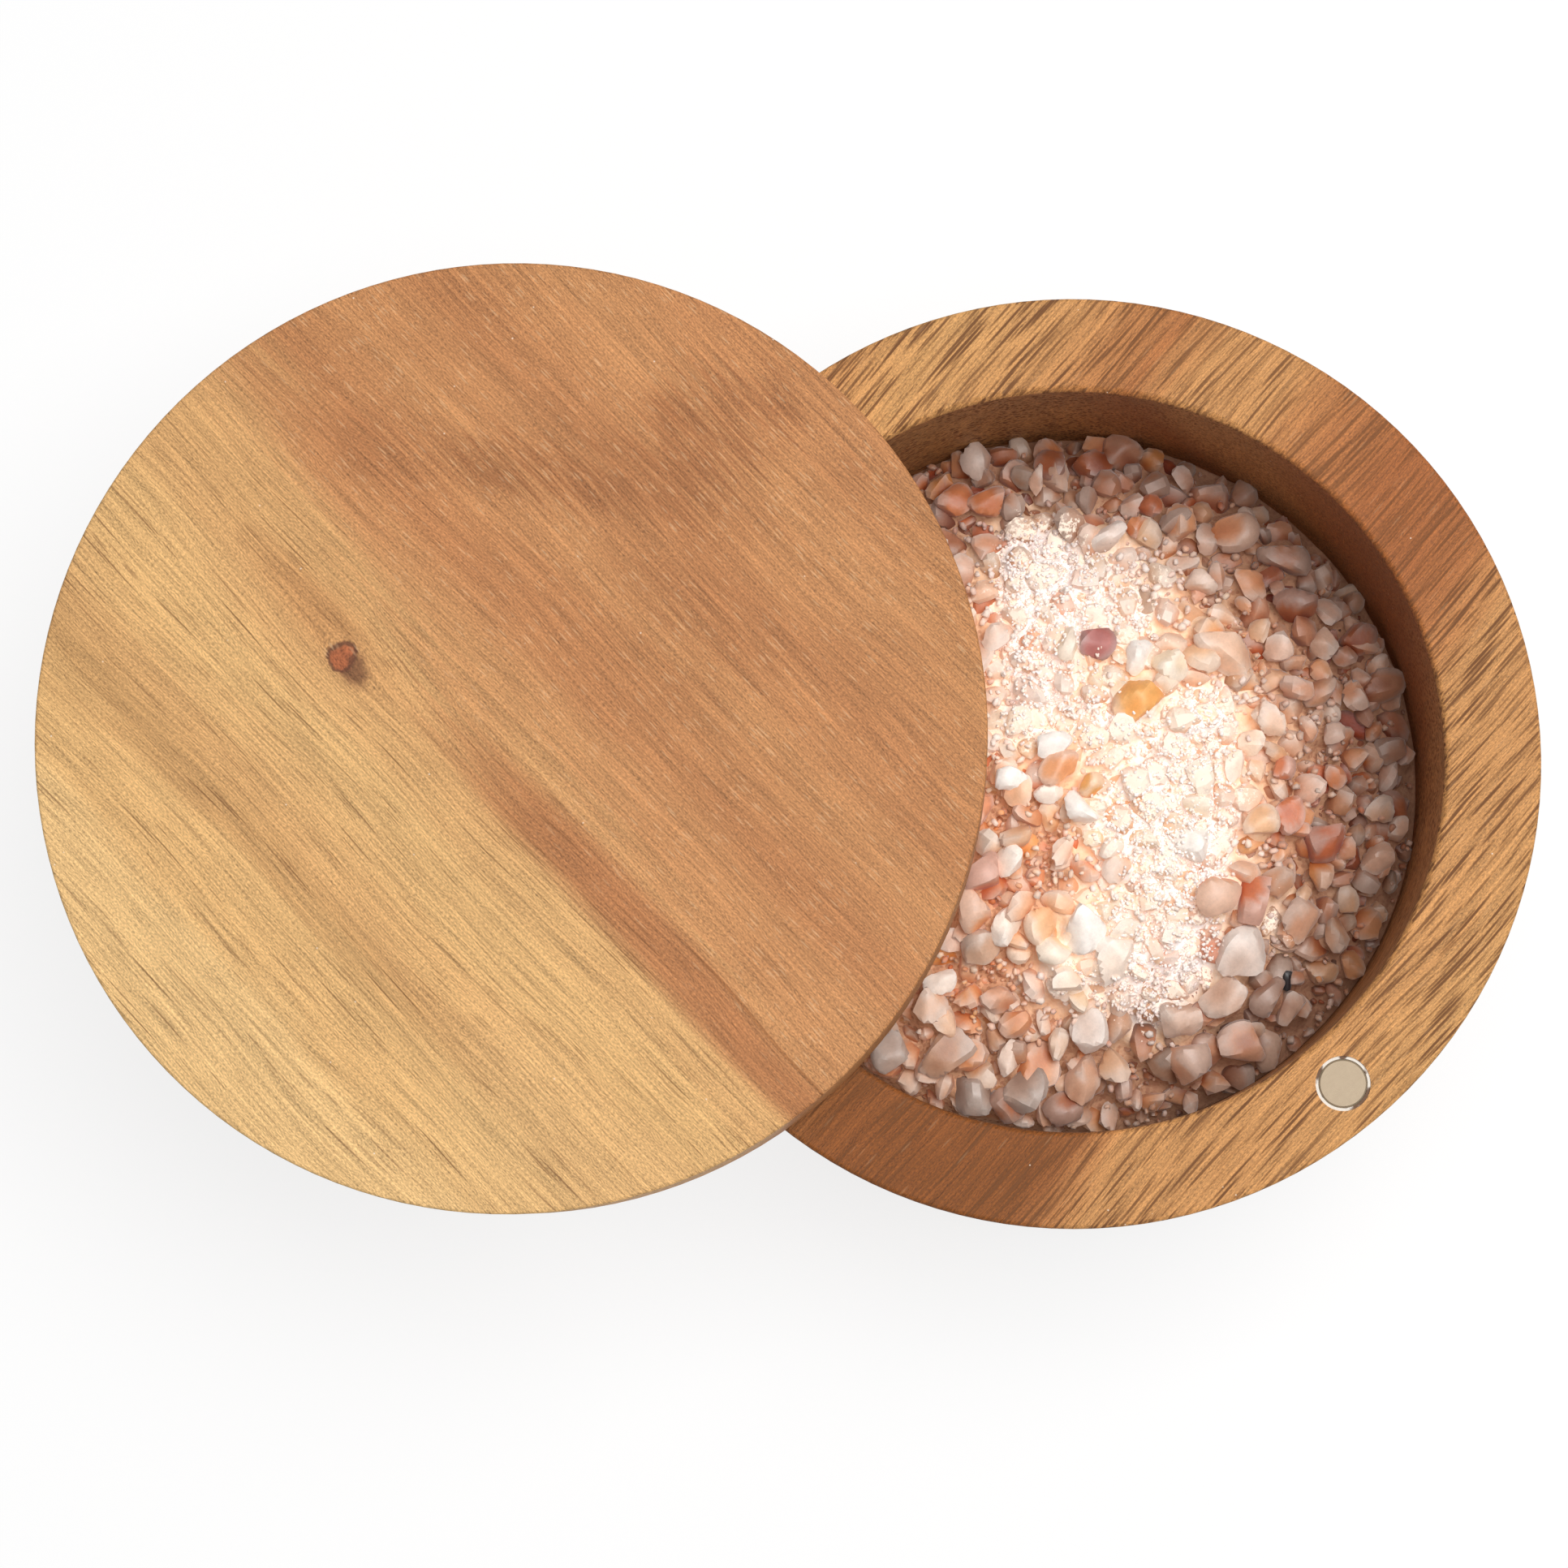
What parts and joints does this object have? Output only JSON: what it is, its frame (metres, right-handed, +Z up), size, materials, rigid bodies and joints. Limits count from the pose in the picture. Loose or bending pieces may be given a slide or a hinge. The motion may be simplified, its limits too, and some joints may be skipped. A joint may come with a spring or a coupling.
{
  "type": "salt box",
  "caption": "Round turned wooden salt box; a flat round lid swings aside on an upright pin in the rim, and a magnet catch across from the pin holds it shut. Shown open and filled.",
  "frame": {"origin": "centre of the tub's flat underside, where the box stands", "axes": "+Z up along the tub's axis; +Y from the magnet catch at the front towards the pivot pin at the back; the lid is swung open 82 degrees, clockwise from above, so that it hangs over the -X +Y side"},
  "size_m": [0.1387, 0.1331, 0.0624],
  "materials": {
    "tub_wood": "oiled hardwood, satin, straight grain with short dark pores, golden with a red-brown band",
    "lid_wood": "oiled hardwood, satin, golden to red-brown, figured, with one small knot",
    "pin_steel": "ground steel",
    "bush_plastic": "natural nylon",
    "washer_plastic": "natural nylon",
    "magnet_nickel": "satin nickel plating",
    "magnet_glue": "dried white glue",
    "rock_salt": "coarse half-clear pink salt crystals with fine white salt between them"
  },
  "bodies": {
    "box": {"box_body": "tub_wood", "pivot_pin": "pin_steel", "pivot_washer": "washer_plastic", "rim_magnet": "magnet_nickel", "rim_magnet_glue": "magnet_glue", "salt_fill": "rock_salt"},
    "lid_assembly": {"lid": "lid_wood", "pivot_bush": "bush_plastic", "lid_magnet": "magnet_nickel", "lid_magnet_glue": "magnet_glue"}
  },
  "joints": [
    {"name": "lid_swivel", "type": "hinge", "parent": "box", "child": "lid_assembly", "pos_m": [0, 0.0431, 0.0504], "axis": [0, 0, -1], "range_deg": [-82, 278]}
  ]
}
